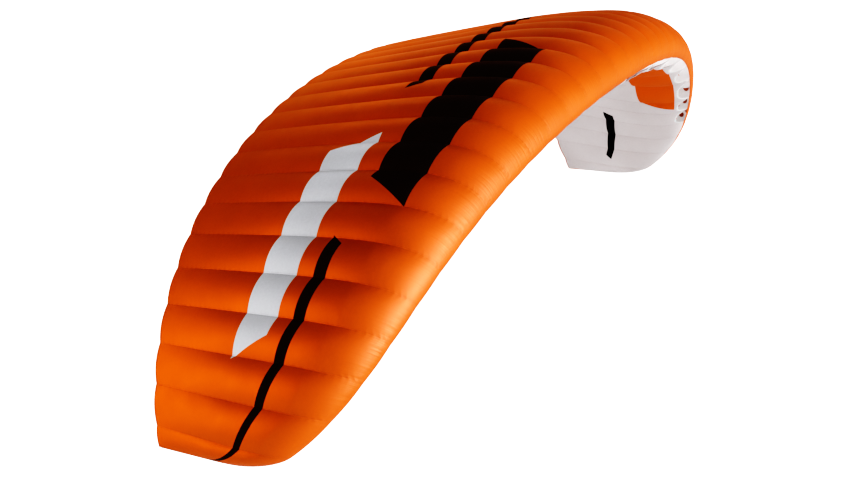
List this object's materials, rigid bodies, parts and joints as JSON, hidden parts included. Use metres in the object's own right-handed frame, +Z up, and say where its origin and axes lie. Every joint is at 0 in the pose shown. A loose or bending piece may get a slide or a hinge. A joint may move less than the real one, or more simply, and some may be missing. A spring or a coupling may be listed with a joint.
{
  "type": "paraglider wing",
  "caption": "Inflated paraglider wing in its flying arch: orange top cloth and pale under cloth sewn to white ribs, with open scooped mouths along the nose.",
  "frame": {"origin": "middle of the under cloth, a quarter of the chord behind the nose, where the lines (left out) hold the wing", "axes": "+X along the span to the wing's own left as it flies towards -Y, +Y aft from nose to tail, +Z up"},
  "size_m": [7.4564, 2.4531, 2.29],
  "materials": {
    "top_cloth": "coated ripstop nylon, satin",
    "under_cloth": "coated ripstop nylon, soft satin",
    "rib_cloth": "stiff coated nylon, matt"
  },
  "bodies": {
    "root": {"free_rib_07": "rib_cloth", "free_rib_09": "rib_cloth", "free_rib_11": "rib_cloth", "free_rib_13": "rib_cloth", "free_rib_15": "rib_cloth", "free_rib_17": "rib_cloth", "free_rib_18": "rib_cloth", "free_rib_20": "rib_cloth", "free_rib_22": "rib_cloth", "free_rib_24": "rib_cloth", "free_rib_26": "rib_cloth", "free_rib_28": "rib_cloth", "rib_01": "rib_cloth", "rib_02": "rib_cloth", "rib_03": "rib_cloth", "rib_04": "rib_cloth", "rib_05": "rib_cloth", "rib_06": "rib_cloth", "rib_08": "rib_cloth", "rib_10": "rib_cloth", "rib_12": "rib_cloth", "rib_14": "rib_cloth", "rib_16": "rib_cloth", "rib_19": "rib_cloth", "rib_21": "rib_cloth", "rib_23": "rib_cloth", "rib_25": "rib_cloth", "rib_27": "rib_cloth", "rib_29": "rib_cloth", "rib_30": "rib_cloth", "rib_31": "rib_cloth", "rib_32": "rib_cloth", "rib_33": "rib_cloth", "rib_34": "rib_cloth", "top_cloth_1": "top_cloth", "top_cloth_2": "top_cloth", "top_cloth_3": "top_cloth", "top_cloth_4": "top_cloth", "top_cloth_5": "top_cloth", "top_cloth_6": "top_cloth", "top_cloth_7": "top_cloth", "under_cloth_1": "under_cloth", "under_cloth_2": "under_cloth", "under_cloth_3": "under_cloth", "under_cloth_4": "under_cloth", "under_cloth_5": "under_cloth", "under_cloth_6": "under_cloth", "under_cloth_7": "under_cloth", "under_cloth_8": "under_cloth", "under_cloth_9": "under_cloth"}
  },
  "joints": []
}
